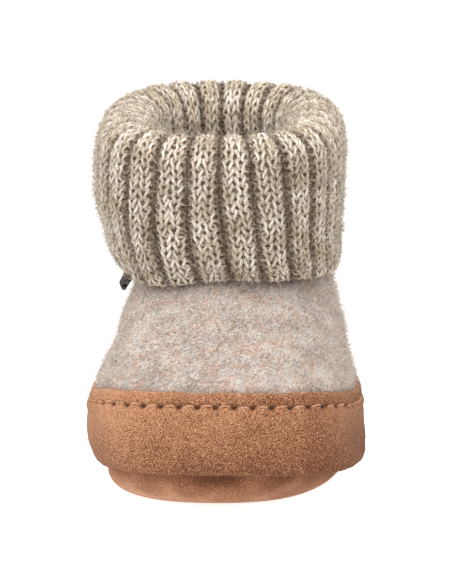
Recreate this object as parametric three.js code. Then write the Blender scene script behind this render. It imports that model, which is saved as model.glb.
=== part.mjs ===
// A small child's wool slipper boot for the left foot, in millimetres, with +Z up.
// The toe points along -Y, and the inner side of the foot is at -X. The origin is on the floor, under
// the middle of the boot's length and width.
// A felted wool upper stands on a cushioned suede sole. A suede band wraps the join between them, and a
// ribbed wool cuff is sewn to the ankle and turned down over the outside.

import * as THREE from 'three';

// Driving dimensions
const LENGTH = 144; // toe to heel, over the suede band
const BALL_WIDTH = 79; // across the ball of the foot, over the suede band
const CUFF_TOP = 102.4; // floor to the top of the rolled cuff
const SOLE_TOP = 11.8; // floor to the top of the sole
const SOLE_INSET = 5.6; // the sole's sides lie this far inside the band
const FELT_WALL = 3;
const SUEDE = 2.2;
const KNIT_WALL = 3.6;
const KNIT_EDGE = 2.4; // the cuff is thinner at its cast-off hem
const INSOLE = 4;
const FIT_GAP = 0.3; // between pieces that touch

// The bend of the last, which every piece follows
const BALL_LINE = -25; // the ball's place along the foot
const TOE_SPRING = 3.2; // the toe tip stands this far off the floor
const TOE_SWING = -0.8; // the toe tip lies this far to the inner side
const ARCH_MIDDLE = 20;
const ARCH_REACH = 24; // the arch ends this far before and behind its middle
const ARCH_WAIST = 2.5; // the inner side draws in this far under the arch
const ARCH_TOP = 45; // and runs straight again at this height
const ARCH_LIFT = 1.2; // the waist of the sole clears the floor
const BALL_SLANT = 0.06; // the outer side is widest further back than the inner side
const BALL_SPAN = 40; // and the slant fades out this far from the ball
const LINE_FALL = 2.8; // the band's top edge lies this much lower along the sides than at the toe
const LINE_FALL_START = -66; // it starts to fall here
const LINE_FALL_SPAN = 36; // and is down this far behind
const LINE_FALL_REACH = 21; // the felt moves with it up to this far above and below

// Mesh counts, and the number of ribs knitted round the cuff
const FOOT_STEPS = 56;
const RIBS = 28;
const STEPS_PER_RIB = 4;
const ROLL_STEPS = 5;
const EDGE_STEPS = 4;

function rowsFromTable(columns, table) {
  return table.map((values) => Object.fromEntries(columns.map((name, i) => [name, values[i]])));
}

// The felt's outer face, section by section up the foot. side, toe and heel are how far the section lies
// inside the half ball width, behind the toe tip and ahead of the heel end. heelTaper narrows the back of
// the section, and lean moves it to the outer side.
// The first row carries only the band, whose lower edge is drawn in under the felt.
const LAST = rowsFromTable(
  ['height', 'side', 'toe', 'heel', 'widest', 'toeFullness', 'heelFullness', 'heelTaper', 'lean'],
  [
    [9.8, 3.9, 5.4, 5.2, -26, 2.8, 3.0, 0.21, 1.9],
    [12.1, 3.3, 4.1, 3.9, -26, 2.8, 3.0, 0.21, 1.2],
    [15.5, 2.6, 3.0, 2.9, -26, 2.8, 3.0, 0.21, 0.5],
    [20.0, 2.5, 2.5, 2.5, -26, 2.8, 3.0, 0.21, 0],
    [25.0, 2.6, 2.7, 2.6, -26, 2.8, 3.0, 0.21, 0],
    [29.0, 2.9, 3.5, 3.0, -26, 2.8, 3.0, 0.21, 0],
    [33.0, 3.3, 4.8, 3.6, -26, 2.8, 3.0, 0.2, 0.2],
    [39.0, 4.3, 9.4, 4.8, -22, 2.6, 2.9, 0.16, 0.4],
    [45.5, 6.7, 17.6, 6.5, -16, 2.5, 2.8, 0.11, 0.75],
    [51.5, 9.5, 27.6, 8.2, -7, 2.4, 2.6, 0.06, 0.75],
    [56.5, 11.9, 36.4, 9.7, 3, 2.3, 2.5, 0.03, 0.6],
    [61.0, 13.3, 43.5, 11.0, 11, 2.2, 2.4, 0, 0.1],
    [66.0, 13.4, 48.5, 12.2, 16, 2.2, 2.3, 0, 0],
    [71.0, 13.2, 51.5, 13.0, 19, 2.2, 2.2, 0, 0],
  ],
).map((row) => ({
  ...row,
  halfWidth: BALL_WIDTH / 2 - row.side,
  toe: row.toe - LENGTH / 2,
  heel: LENGTH / 2 - row.heel,
}));
const FEATHER_ROW = 1; // the felt starts at this row, on the rim of the sole
const BAND_TOP_ROW = 6;
const FEATHER_LINE = LAST[FEATHER_ROW];
const BAND_TOP = LAST[BAND_TOP_ROW];
const ANKLE_SEAM = LAST[LAST.length - 1];

// The middle of the cuff's knitted wall, from the hem up the outside, and from the roll down the inside.
// lean moves the section sideways, and flare lifts it off the felt on the inner side of the foot.
const CUFF_COLUMNS = [
  'height', 'halfWidth', 'toe', 'heel', 'widest', 'toeFullness', 'heelFullness', 'lean', 'flare'];
const ROLL_RADIUS = 6.9;
const SHOULDER = CUFF_TOP - KNIT_WALL / 2 - ROLL_RADIUS;
const CUFF_OUTSIDE = rowsFromTable(CUFF_COLUMNS, [
  [58.2, 29.3, -35.6, 64.0, 7, 2.5, 2.3, -0.1, 5.2],
  [67.0, 31.2, -34.2, 64.2, 12, 2.7, 2.4, -2.0, 3.4],
  [79.0, 33.4, -33.0, 64.0, 15, 2.9, 2.5, -3.5, 2.2],
  [SHOULDER, 33.8, -30.4, 62.4, 17, 2.9, 2.6, -3.7, 0.0],
]);
const CUFF_INSIDE = rowsFromTable(CUFF_COLUMNS, [
  [SHOULDER, 20.0, -16.6, 48.6, 17, 2.9, 2.6, -3.7, 0.0],
  [82.0, 21.6, -17.2, 51.8, 18, 2.6, 2.4, -2.4, 0.0],
  [ANKLE_SEAM.height + FIT_GAP, 25.0, -19.0, 57.5, 19, 2.3, 2.3, 0.0, 0.0],
]);
const HEM_FRONT_RISE = 4; // the hem rises over the instep
const HEM_TUCK = 3.8; // and lies back on it
const HEM_DIP = 2.1; // and sags once, beside the instep
const HEM_DIP_ANGLE = -0.5; // angles round the cuff start at the toe, in radians, positive to the outer side
const HEM_DIP_REACH = 0.3;
const FLARE_ANGLE = -1.95;
const FLARE_REACH = 0.6;
const RIB_CREST = 0.5;
const RIB_VALLEY = -0.9;

// The rounded lower edge of the sole
const EDGE_ROUND = 12;
const EDGE_RISE = 9;
const SOLE_RIM = 1; // the rim spreads under the felt
const SOLE_NECK = 0.1; // and starts to spread at this height
const SOLE_NECK_HEIGHT = 9.8;
const SOLE_LEAN = 0.5;
const TREAD_LEAN = -2.3; // the tread lies further to the inner side than the rim
const SOLE_TOE_FULLNESS = 2.7;
const TREAD_TOE_FULLNESS = 2.15; // the tread is rounder at the toe than the rim
const SOLE_TOE_INSET = 7.3;
const SOLE_HEEL_INSET = 7;
const SOLE_MIDDLE = 22; // inset of the innermost ring
const TREAD_MIDDLE = -12; // the flat of the forefoot lies about this place
const INSOLE_EDGE = 1;

// The loop of black ribbon that is sewn to the felt under the hem, on the inner side
const TAB_WIDTH = 9;
const TAB_TOP = 55.8;
const TAB_LENGTH = 8.8;
const TAB_MOUTH = 2.2; // across the loop at its top
const TAB_FOLD = 1.7; // and at its pinched fold
const TAB_RIBBON = 0.8;
const TAB_PLACE = { x: -28.7, y: 20 };
const TAB_LEAN = 0.5; // the fold stands off the felt
const TAB_TURN = 0.14; // and the outer face looks a little to the toe

const signedPower = (value, power) => Math.sign(value) * Math.abs(value) ** power;
const bell = (value) => Math.exp(-(value ** 2));
const hump = (value) => Math.max(0, 1 - value ** 2) ** 2;

// A level section of the last: two superellipses that meet at its widest place.
class Section extends THREE.Curve {
  constructor(row, spread = 0) {
    super();
    this.row = row;
    this.spread = spread;
  }

  getPoint(turn, target = new THREE.Vector3()) {
    const { halfWidth, toe, heel, widest, toeFullness, heelFullness, heelTaper = 0, lean, height } = this.row;
    const angle = turn * 2 * Math.PI;
    const ahead = Math.cos(angle) > 0;
    const reach = ahead ? toe - this.spread - widest : heel + this.spread - widest;
    const power = 2 / (ahead ? toeFullness : heelFullness);
    const along = Math.abs(Math.cos(angle)) ** power;
    const narrowing = ahead ? 1 : 1 - heelTaper * along * (2 - along);
    const across = signedPower(Math.sin(angle), power) * narrowing;
    return target.set((halfWidth + this.spread) * across + lean, widest + reach * along, height);
  }

  ring(steps) {
    return this.getSpacedPoints(steps).slice(0, steps);
  }
}

// Bends a point of the straight last to the left foot: slanted ball, toe spring, inward toe and arch. The
// line of the band's top edge falls behind the toe.
function bendToFoot(point) {
  point.y += BALL_SLANT * point.x * hump((point.y - BALL_LINE) / BALL_SPAN);
  const ahead = Math.max(0, (BALL_LINE - point.y) / (BALL_LINE + LENGTH / 2));
  const underArch = hump((point.y - ARCH_MIDDLE) / ARCH_REACH) * Math.max(0, 1 - point.z / ARCH_TOP);
  const inner = Math.max(0, -point.x / (BALL_WIDTH / 2));
  point.x += TOE_SWING * ahead ** 2 + ARCH_WAIST * underArch * inner;
  const behindToe = THREE.MathUtils.smoothstep(point.y, LINE_FALL_START, LINE_FALL_START + LINE_FALL_SPAN);
  const fall = LINE_FALL * behindToe * hump((point.z - BAND_TOP.height) / LINE_FALL_REACH);
  point.z += TOE_SPRING * ahead ** 2 - fall;
  return point;
}

// Moves each point of a grid of rings along the surface's own normal. amount is given the ring and step.
function offsetRings(rings, amount) {
  return rings.map((ring, k) => ring.map((point, i) => {
    const steps = ring.length;
    const around = ring[(i + 1) % steps].clone().sub(ring[(i + steps - 1) % steps]);
    const up = rings[Math.min(k + 1, rings.length - 1)][i].clone().sub(rings[Math.max(k - 1, 0)][i]);
    const normal = around.cross(up).normalize();
    return point.clone().addScaledVector(normal, amount(k, i));
  }));
}

// Skins a stack of rings. With no poles the stack returns to its first ring, and two poles cap its ends.
function skinRings(rings, poles = []) {
  const steps = rings[0].length;
  const closed = poles.length === 0;
  const vertices = [...rings.flat(), ...poles];
  const triangles = [];
  const bands = closed ? rings.length : rings.length - 1;
  for (let k = 0; k < bands; k++) {
    const low = k * steps;
    const high = ((k + 1) % rings.length) * steps;
    for (let i = 0; i < steps; i++) {
      const next = (i + 1) % steps;
      triangles.push(low + i, low + next, high + next, low + i, high + next, high + i);
    }
  }
  if (!closed) {
    const last = (rings.length - 1) * steps;
    const lowPole = rings.length * steps;
    const highPole = lowPole + 1;
    for (let i = 0; i < steps; i++) {
      const next = (i + 1) % steps;
      triangles.push(lowPole, next, i, highPole, last + i, last + next);
    }
  }
  return new THREE.BufferGeometry().setFromPoints(vertices).setIndex(triangles);
}

// A wall between an outer and an inner stack of rings, open at the top and underneath.
const wallBetween = (outer, inner) => skinRings([...outer, ...inner.toReversed()]);

const feltRings = (rows) => rows.map((row) => new Section(row).ring(FOOT_STEPS));
const bendRings = (rings) => rings.map((ring) => ring.map(bendToFoot));

function upperGeometry() {
  const outer = feltRings(LAST.slice(FEATHER_ROW));
  const inner = offsetRings(outer, () => -FELT_WALL);
  inner[0].forEach((point) => { point.z = FEATHER_LINE.height; });
  inner[inner.length - 1].forEach((point) => { point.z = ANKLE_SEAM.height; });
  return wallBetween(bendRings(outer), bendRings(inner));
}

// The band is cut between two larger copies of the felt's own face.
function bandGeometry() {
  const felt = feltRings(LAST.slice(0, BAND_TOP_ROW + 1));
  const inner = offsetRings(felt, () => FIT_GAP);
  const outer = offsetRings(felt, () => FIT_GAP + SUEDE);
  [inner[0], outer[0]].flat().forEach((point) => { point.z = LAST[0].height; });
  return wallBetween(bendRings(outer), bendRings(inner));
}

// The outline of the sole, spread or drawn in, at a height of its own. It grows fuller from tread to rim.
const SOLE_OUTLINE = {
  ...FEATHER_LINE,
  halfWidth: BALL_WIDTH / 2 - SOLE_INSET,
  toe: SOLE_TOE_INSET - LENGTH / 2,
  heel: LENGTH / 2 - SOLE_HEEL_INSET,
};
function footRing(height, spread) {
  const share = Math.min(1, height / EDGE_RISE);
  const toeFullness = THREE.MathUtils.lerp(TREAD_TOE_FULLNESS, SOLE_TOE_FULLNESS, share);
  const lean = THREE.MathUtils.lerp(TREAD_LEAN, SOLE_LEAN, share);
  return new Section({ ...SOLE_OUTLINE, height, toeFullness, lean }, spread).ring(FOOT_STEPS);
}
const treadPoint = (height) => new THREE.Vector3(0, TREAD_MIDDLE, height);

function outsoleGeometry() {
  const rings = [footRing(0, -SOLE_MIDDLE)];
  for (let step = 0; step <= EDGE_STEPS; step++) {
    const turn = (step / EDGE_STEPS) * (Math.PI / 2);
    rings.push(footRing(EDGE_RISE * (1 - Math.cos(turn)), EDGE_ROUND * (Math.sin(turn) - 1)));
  }
  rings.push(footRing(SOLE_NECK_HEIGHT, SOLE_NECK));
  rings.push(footRing(SOLE_TOP, SOLE_RIM));
  rings.push(footRing(SOLE_TOP, -SOLE_MIDDLE));
  rings.flat().forEach((point) => {
    const low = 1 - point.z / SOLE_TOP;
    point.z += ARCH_LIFT * low * hump((point.y - ARCH_MIDDLE) / ARCH_REACH);
  });
  return skinRings(bendRings(rings), [treadPoint(0), treadPoint(SOLE_TOP)]);
}

function insoleGeometry() {
  const bottom = SOLE_TOP + FIT_GAP;
  const feltInside = FEATHER_LINE.halfWidth - FELT_WALL - (FEATHER_LINE.lean - SOLE_LEAN);
  const inset = SOLE_OUTLINE.halfWidth - feltInside + 2 * FIT_GAP;
  const rings = [
    footRing(bottom, -SOLE_MIDDLE),
    footRing(bottom, -inset - INSOLE_EDGE),
    footRing(bottom + INSOLE_EDGE, -inset),
    footRing(bottom + INSOLE - INSOLE_EDGE, -inset),
    footRing(bottom + INSOLE, -inset - INSOLE_EDGE),
    footRing(bottom + INSOLE, -SOLE_MIDDLE),
  ];
  return skinRings(bendRings(rings), [treadPoint(bottom), treadPoint(bottom + INSOLE)]);
}

// One ring of the cuff's mid wall: an oval about its own middle, leaned, flared and hemmed.
function cuffRing(row, isHem) {
  const steps = RIBS * STEPS_PER_RIB;
  return new Section(row).ring(steps).map((point, i) => {
    const turn = (i / steps) * 2 * Math.PI;
    const angle = turn > Math.PI ? turn - 2 * Math.PI : turn;
    point.x -= row.flare * bell((angle - FLARE_ANGLE) / FLARE_REACH);
    if (isHem) {
      const instep = Math.max(0, Math.cos(angle)) ** 2;
      point.y += HEM_TUCK * instep ** 3;
      point.z += HEM_FRONT_RISE * instep;
      point.z -= HEM_DIP * bell((angle - HEM_DIP_ANGLE) / HEM_DIP_REACH);
    }
    return point;
  });
}

// The roll at the top of the cuff is a half circle between the outer and the inner shoulder.
function rollRows() {
  const outside = CUFF_OUTSIDE[CUFF_OUTSIDE.length - 1];
  const rows = [];
  for (let step = 1; step < ROLL_STEPS; step++) {
    const turn = (step / ROLL_STEPS) * Math.PI;
    const inward = ROLL_RADIUS * (1 - Math.cos(turn));
    rows.push({
      ...outside,
      height: SHOULDER + ROLL_RADIUS * Math.sin(turn),
      halfWidth: outside.halfWidth - inward,
      toe: outside.toe + inward,
      heel: outside.heel - inward,
    });
  }
  return rows;
}

function cuffGeometry() {
  const rows = [...CUFF_OUTSIDE, ...rollRows(), ...CUFF_INSIDE];
  const middle = rows.map((row, k) => cuffRing(row, k === 0));
  const lastRow = rows.length - 1;
  const halfWall = (k) => (k === 0 ? KNIT_EDGE : KNIT_WALL) / 2;
  const rib = (i) => (i % STEPS_PER_RIB < STEPS_PER_RIB / 2 ? RIB_VALLEY : RIB_CREST);
  const shown = offsetRings(middle, (k, i) => halfWall(k) + (k === lastRow ? 0 : rib(i)));
  const hidden = offsetRings(middle, (k) => -halfWall(k));
  shown[lastRow].forEach((point) => { point.z = rows[lastRow].height; });
  hidden[lastRow].forEach((point) => { point.z = rows[lastRow].height; });
  return wallBetween(shown, hidden);
}

// A ribbon folded into a narrow loop, pinched fold downwards, with both ends sewn to the felt.
function tabGeometry() {
  const mouth = TAB_MOUTH / 2;
  const fold = TAB_FOLD / 2;
  const foldCentre = fold - TAB_LENGTH;
  const profile = new THREE.Shape();
  profile.moveTo(mouth, 0);
  profile.lineTo(mouth - TAB_RIBBON, 0);
  profile.lineTo(fold - TAB_RIBBON, foldCentre);
  profile.absarc(0, foldCentre, fold - TAB_RIBBON, 0, Math.PI, true);
  profile.lineTo(TAB_RIBBON - mouth, 0);
  profile.lineTo(-mouth, 0);
  profile.lineTo(-fold, foldCentre);
  profile.absarc(0, foldCentre, fold, Math.PI, 2 * Math.PI, false);
  return new THREE.ExtrudeGeometry(profile, { depth: TAB_WIDTH, bevelEnabled: false, curveSegments: 6 })
    .translate(0, 0, -TAB_WIDTH / 2)
    .rotateX(Math.PI / 2);
}

const feltWool = new THREE.MeshStandardMaterial({ color: '#b9aca3', roughness: 0.97, metalness: 0 });
const suedeNap = new THREE.MeshStandardMaterial({ color: '#b57f52', roughness: 0.95, metalness: 0 });
const suedeSole = new THREE.MeshStandardMaterial({ color: '#ad7450', roughness: 0.9, metalness: 0 });
const raggKnit = new THREE.MeshStandardMaterial({ color: '#b3a68f', roughness: 0.98, metalness: 0 });
const feltInsole = new THREE.MeshStandardMaterial({ color: '#a89a8d', roughness: 0.97, metalness: 0 });
const blackRibbon = new THREE.MeshStandardMaterial({ color: '#1d1c1d', roughness: 0.7, metalness: 0 });

function piece(name, geometry, material) {
  const mesh = new THREE.Mesh(geometry, material);
  mesh.name = name;
  return mesh;
}

const sideTab = piece('side_tab', tabGeometry(), blackRibbon);
sideTab.position.set(TAB_PLACE.x, TAB_PLACE.y, TAB_TOP);
sideTab.rotation.set(0, TAB_LEAN, TAB_TURN, 'ZYX');

const slipper = new THREE.Group();
slipper.add(
  piece('outsole', outsoleGeometry(), suedeSole),
  piece('insole', insoleGeometry(), feltInsole),
  piece('upper', upperGeometry(), feltWool),
  piece('suede_band', bandGeometry(), suedeNap),
  piece('cuff', cuffGeometry(), raggKnit),
  sideTab,
);

export default slipper;
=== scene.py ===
"""Dresses a small child's wool slipper boot: suede sole and band, felt upper, ribbed wool cuff, ribbon tab.
Sizes are in millimetres in the boot's own frame, with the toe along -Y, and turn to metres in the meshes."""

import math

import bpy
import numpy as np
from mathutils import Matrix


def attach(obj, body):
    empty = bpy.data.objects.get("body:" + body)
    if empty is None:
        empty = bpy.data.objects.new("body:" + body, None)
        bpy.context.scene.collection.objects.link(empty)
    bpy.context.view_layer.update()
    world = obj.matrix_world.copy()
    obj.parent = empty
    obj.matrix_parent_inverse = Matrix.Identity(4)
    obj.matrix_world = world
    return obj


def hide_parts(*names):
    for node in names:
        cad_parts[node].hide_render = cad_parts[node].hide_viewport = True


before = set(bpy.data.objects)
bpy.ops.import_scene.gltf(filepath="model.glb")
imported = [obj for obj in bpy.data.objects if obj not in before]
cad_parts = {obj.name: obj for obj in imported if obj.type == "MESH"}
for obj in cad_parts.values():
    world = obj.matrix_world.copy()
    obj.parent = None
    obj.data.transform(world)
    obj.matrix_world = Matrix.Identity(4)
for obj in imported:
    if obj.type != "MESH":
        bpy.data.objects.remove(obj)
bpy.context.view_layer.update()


# The outsole
# A cushion of felt covered with one cut of tan suede, drawn up over a rounded edge and tucked in under the
# felt upper. The brushed side faces out. Its colour carries painted light and shade: paler round the tread,
# as painted light bounced up from the floor, paler at the sides as painted light from the lamps there, and
# darker under the rim as painted shade of the band above.
MM = 0.001
FULL_TURN = 2.0 * math.pi
LENGTH = 144.0
BALL_WIDTH = 79.0
BALL_LINE = -25.0
BALL_SLANT = 0.06
BALL_SPAN = 40.0
TOE_SPRING = 3.2
TOE_SWING = -0.8
ARCH_MIDDLE = 20.0
ARCH_REACH = 24.0
ARCH_WAIST = 2.5
ARCH_TOP = 45.0
ARCH_LIFT = 1.2
LINE_FALL = 2.8
LINE_FALL_START = -66.0
LINE_FALL_SPAN = 36.0
LINE_FALL_REACH = 21.0
BAND_TOP = 33.0
SOLE_TOP = 11.8
SOLE_HALF_WIDTH = 33.9
SOLE_TOE = -64.7
SOLE_HEEL = 65.0
SOLE_WIDEST = -26.0
SOLE_LEAN = 0.5
TREAD_LEAN = -2.3
SOLE_TOE_FULLNESS = 2.7
TREAD_TOE_FULLNESS = 2.15
SOLE_HEEL_FULLNESS = 3.0
SOLE_HEEL_TAPER = 0.21
SOLE_MIDDLE = -32.0
SOLE_EDGE_ROUND = 12.0
SOLE_EDGE_RISE = 9.0
SOLE_NECK = (9.8, 0.1)
SOLE_RIM = 1.0
SOLE_STEPS = 360
SOLE_UNDER_RINGS = 8
SOLE_EDGE_RINGS = 20
SOLE_RIM_RINGS = 5
SOLE_TOP_RINGS = 6
# Painted light and shade on the sole: paler round the tread and at the sides, darker under the rim
TREAD_PAINTED_LIGHT = 0.19
TREAD_LIGHT_FADE = 1.8
SIDE_PAINTED_LIGHT = 0.062
SIDE_LIGHT_CENTRE = 6.0
SIDE_LIGHT_START = 12.0
SIDE_LIGHT_MOST = 1.3
RIM_PAINTED_SHADE = 0.105
RIM_SHADE_START = 2.5
RIM_SHADE_SPAN = 5.0
LASTING_PLEATS = 46
LASTING_DEPTH = 0.12
LASTING_REACH = 3.0
OUTLINE_STEPS = 1440
SECTION_SIZES = [
    "height", "half_width", "toe", "heel", "widest", "toe_fullness", "heel_fullness", "lean", "heel_taper"]


def linear(colour):
    """An sRGB hex colour as linear RGBA: low values are divided by 12.92, and the others are raised to the
    power 2.4."""
    srgb = np.array([int(colour[i:i + 2], 16) for i in (1, 3, 5)]) / 255.0
    rgb = np.where(srgb <= 0.04045, srgb / 12.92, ((srgb + 0.055) / 1.055) ** 2.4)
    return (*rgb.tolist(), 1.0)


def per_mm(size):
    """The texture scale at which one cell of a pattern measures the given millimetres."""
    return 1.0 / (size * MM)


def new_material(name):
    """An empty node material."""
    material = bpy.data.materials.new(name)
    material.use_nodes = True
    material.node_tree.nodes.clear()
    return material


def add_node(material, kind, inputs=None, stops=(), **settings):
    """Adds a shader node. inputs gives its sockets, by name or number, a value, another node's output, or a
    node for its first output. stops are a colour ramp's places and colours, and settings its properties."""
    node = material.node_tree.nodes.new("ShaderNode" + kind)
    for name, value in settings.items():
        setattr(node, name, value)
    for socket, value in (inputs or {}).items():
        if isinstance(value, bpy.types.Node):
            value = value.outputs[0]
        if isinstance(value, bpy.types.NodeSocket):
            material.node_tree.links.new(value, node.inputs[socket])
        else:
            node.inputs[socket].default_value = value
    for number, (place, colour) in enumerate(stops):
        elements = node.color_ramp.elements
        element = elements[number] if number < len(elements) else elements.new(1.0)
        element.position = place
        element.color = linear(colour)
    return node


def hump(value):
    """A bump of height one at zero that ends smoothly at one on either side."""
    return np.maximum(0.0, 1.0 - value ** 2) ** 2


def bell(value):
    """A soft bump of height one at zero: e to the power of minus the square."""
    return np.exp(-(value ** 2))


def level_sections(rows, turns):
    """Level sections of the last as an array of rings, steps and xyz. Each is two superellipses, ahead and
    behind, that meet at its widest place. turns are shares of its length, from the toe by the outer side."""
    height, half_width, toe, heel, widest, toe_fullness, heel_fullness, lean, heel_taper = [
        np.reshape(rows[size], (-1, 1)) for size in SECTION_SIZES]

    def points_at(angles):
        ahead = np.cos(angles) > 0
        power = 2.0 / np.where(ahead, toe_fullness, heel_fullness)
        along = np.abs(np.cos(angles)) ** power
        narrowing = np.where(ahead, 1.0, 1.0 - heel_taper * along * (2.0 - along))
        across = np.sign(np.sin(angles)) * np.abs(np.sin(angles)) ** power * narrowing
        x = half_width * across + lean
        y = widest + (np.where(ahead, toe, heel) - widest) * along
        return np.stack([x, y, np.broadcast_to(height, x.shape)], axis=-1)

    fine = np.linspace(0.0, FULL_TURN, OUTLINE_STEPS + 1)
    outline = points_at(np.broadcast_to(fine, (len(height), fine.size)))
    steps = np.linalg.norm(np.diff(outline, axis=1), axis=2)
    shares = np.pad(np.cumsum(steps, axis=1), ((0, 0), (1, 0)))
    shares /= shares[:, -1:]
    return points_at(np.stack([np.interp(turns, share, fine) for share in shares]))


def bend_to_foot(points):
    """Bends the straight last to the left foot. The ball slants, the toe swings in and springs up with the
    square of its way ahead of the ball, the inner side draws in under the arch, and the line of the band's
    top edge falls behind the toe."""
    x, y, z = np.moveaxis(points, -1, 0)
    y = y + BALL_SLANT * x * hump((y - BALL_LINE) / BALL_SPAN)
    ahead = np.maximum(0.0, (BALL_LINE - y) / (BALL_LINE + LENGTH / 2))
    under_arch = hump((y - ARCH_MIDDLE) / ARCH_REACH) * np.maximum(0.0, 1.0 - z / ARCH_TOP)
    inner = np.maximum(0.0, -x / (BALL_WIDTH / 2))
    x = x + TOE_SWING * ahead ** 2 + ARCH_WAIST * under_arch * inner
    behind_toe = np.clip((y - LINE_FALL_START) / LINE_FALL_SPAN, 0.0, 1.0)
    fall = behind_toe ** 2 * (3.0 - 2.0 * behind_toe) * hump((z - BAND_TOP) / LINE_FALL_REACH)
    z = z + TOE_SPRING * ahead ** 2 - LINE_FALL * fall
    return np.stack([x, y, z], axis=-1)


def sole_rings(heights, spreads, turns):
    """Rings of the sole's outline, each at a height and spread outwards or drawn in by an amount. The tread
    is rounder at the toe than the rim, and lies further to the inner side."""
    rim_share = np.clip(heights / SOLE_EDGE_RISE, 0.0, 1.0)
    rows = {
        "height": heights,
        "half_width": SOLE_HALF_WIDTH + spreads,
        "toe": SOLE_TOE - spreads,
        "heel": SOLE_HEEL + spreads,
        "widest": SOLE_WIDEST,
        "toe_fullness": TREAD_TOE_FULLNESS + (SOLE_TOE_FULLNESS - TREAD_TOE_FULLNESS) * rim_share,
        "heel_fullness": SOLE_HEEL_FULLNESS,
        "heel_taper": SOLE_HEEL_TAPER,
        "lean": TREAD_LEAN + (SOLE_LEAN - TREAD_LEAN) * rim_share,
    }
    return level_sections(rows, turns)


def even_turns(steps):
    """Shares of the way round for a ring of evenly spaced points."""
    return np.arange(steps) / steps


def skin(points, closed):
    """Faces over a stack of rings: each corner goes to the next step and on to the next ring. A closed stack
    returns to its first ring, and an open one is capped at both ends."""
    index = np.arange(points.size // 3).reshape(points.shape[:2])
    low = index if closed else index[:-1]
    high = np.roll(index, -1, axis=0) if closed else index[1:]
    quads = np.stack([low, np.roll(low, -1, axis=1), np.roll(high, -1, axis=1), high], axis=-1)
    caps = [] if closed else [index[0, ::-1].tolist(), index[-1].tolist()]
    return quads.reshape(-1, 4).tolist() + caps


def add_object(name, data):
    """Puts a mesh, a light or a camera into the scene."""
    item = bpy.data.objects.new(name, data)
    bpy.context.scene.collection.objects.link(item)
    return item


def add_piece(name, points, faces, material):
    """Puts points in millimetres and faces into a smooth mesh object that rides on the boot's one body."""
    mesh = bpy.data.meshes.new(name)
    mesh.from_pydata((np.reshape(points, (-1, 3)) * MM).tolist(), [], faces)
    mesh.polygons.foreach_set("use_smooth", np.ones(len(mesh.polygons), dtype=bool))
    mesh.materials.append(material)
    piece = add_object(name, mesh)
    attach(piece, "root")
    return piece


def set_values(piece, name, values):
    """Gives each point of a piece a value for its material to read, under a name."""
    attribute = piece.data.attributes.new(name, "FLOAT", "POINT")
    attribute.data.foreach_set("value", np.asarray(values, dtype=np.float32).ravel())


def finish_surface(material, colour, height, strength, rise, finish):
    """Ends a material: a relief that rises by millimetres under a shader of one colour and finish."""
    relief = add_node(material, "Bump", {"Height": height, "Strength": strength, "Distance": rise * MM})
    shader = add_node(material, "BsdfPrincipled", {"Base Color": colour, "Normal": relief, **finish})
    add_node(material, "OutputMaterial", {"Surface": shader})


def suede_material(name, stops, nap, patchy, rise):
    """Split suede, brushed. Short fibres lie in small tufts of nap, so it looks matt and finely flecked, with
    a share of broad patches, paler and deeper, where the nap was brushed another way. The piece's tone
    darkens it with painted shade, as in the holes of a seam, and its painted light and shade make it
    paler or deeper."""
    material = new_material(name)
    place = add_node(material, "TexCoord").outputs["Object"]
    brushed = add_node(material, "Mapping", {
        "Vector": place, "Rotation": (0.3, 1.05, 0.3), "Scale": (0.85, 0.85, 1.6)})
    tufts = add_node(material, "TexNoise", {
        "Vector": brushed, "Scale": per_mm(nap), "Detail": 2.0, "Roughness": 0.65, "Distortion": 0.5})
    patches = add_node(material, "TexNoise", {
        "Vector": place, "Scale": per_mm(12.0), "Detail": 2.0, "Roughness": 0.5})
    shade = add_node(material, "Mix", {0: patchy, 2: tufts, 3: patches})
    # The piece's painted light and shade makes the nap paler or darker
    painted_light_and_shade = add_node(material, "Attribute", attribute_name="painted_light_and_shade")
    nap_and_painted_light = add_node(material, "Math", {0: shade, 1: painted_light_and_shade.outputs["Fac"]}, operation="ADD")
    nap_colour = add_node(material, "ValToRGB", {"Fac": nap_and_painted_light}, stops)
    # The piece's tone darkens it towards deep brown: painted shade, as in the holes of a seam
    tone = add_node(material, "Attribute", attribute_name="tone")
    colour = add_node(material, "Mix", {
        0: tone.outputs["Fac"], 6: nap_colour, 7: linear("#432516")}, data_type="RGBA")
    finish_surface(material, colour.outputs[2], tufts, 0.6, rise, {
        "Roughness": 0.92, "Specular IOR Level": 0.2, "Sheen Weight": 0.22, "Sheen Roughness": 0.5,
        "Sheen Tint": linear("#d8b79c")})
    return material


sole_turn = np.linspace(0.0, math.pi / 2, SOLE_EDGE_RINGS)
under_spread = np.linspace(SOLE_MIDDLE, -SOLE_EDGE_ROUND, SOLE_UNDER_RINGS, endpoint=False)
edge_height = SOLE_EDGE_RISE * (1.0 - np.cos(sole_turn))
edge_spread = SOLE_EDGE_ROUND * (np.sin(sole_turn) - 1.0)
rim_height = np.linspace(SOLE_NECK[0], SOLE_TOP, SOLE_RIM_RINGS)
rim_spread = np.linspace(SOLE_NECK[1], SOLE_RIM, SOLE_RIM_RINGS)
top_spread = np.linspace(SOLE_RIM - 1.0, SOLE_MIDDLE, SOLE_TOP_RINGS)
sole_height = np.concatenate([
    np.zeros_like(under_spread), edge_height, rim_height, np.full_like(top_spread, SOLE_TOP)])
sole_spread = np.concatenate([under_spread, edge_spread, rim_spread, top_spread])
sole_points = sole_rings(sole_height, sole_spread, even_turns(SOLE_STEPS))
sole_low = 1.0 - sole_points[..., 2] / SOLE_TOP
sole_points[..., 2] += ARCH_LIFT * sole_low * hump((sole_points[..., 1] - ARCH_MIDDLE) / ARCH_REACH)
sole_pleat = np.sin(FULL_TURN * LASTING_PLEATS * even_turns(SOLE_STEPS))
sole_pleat = sole_pleat * bell((sole_height - SOLE_NECK[0]) / LASTING_REACH)[:, None]
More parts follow.
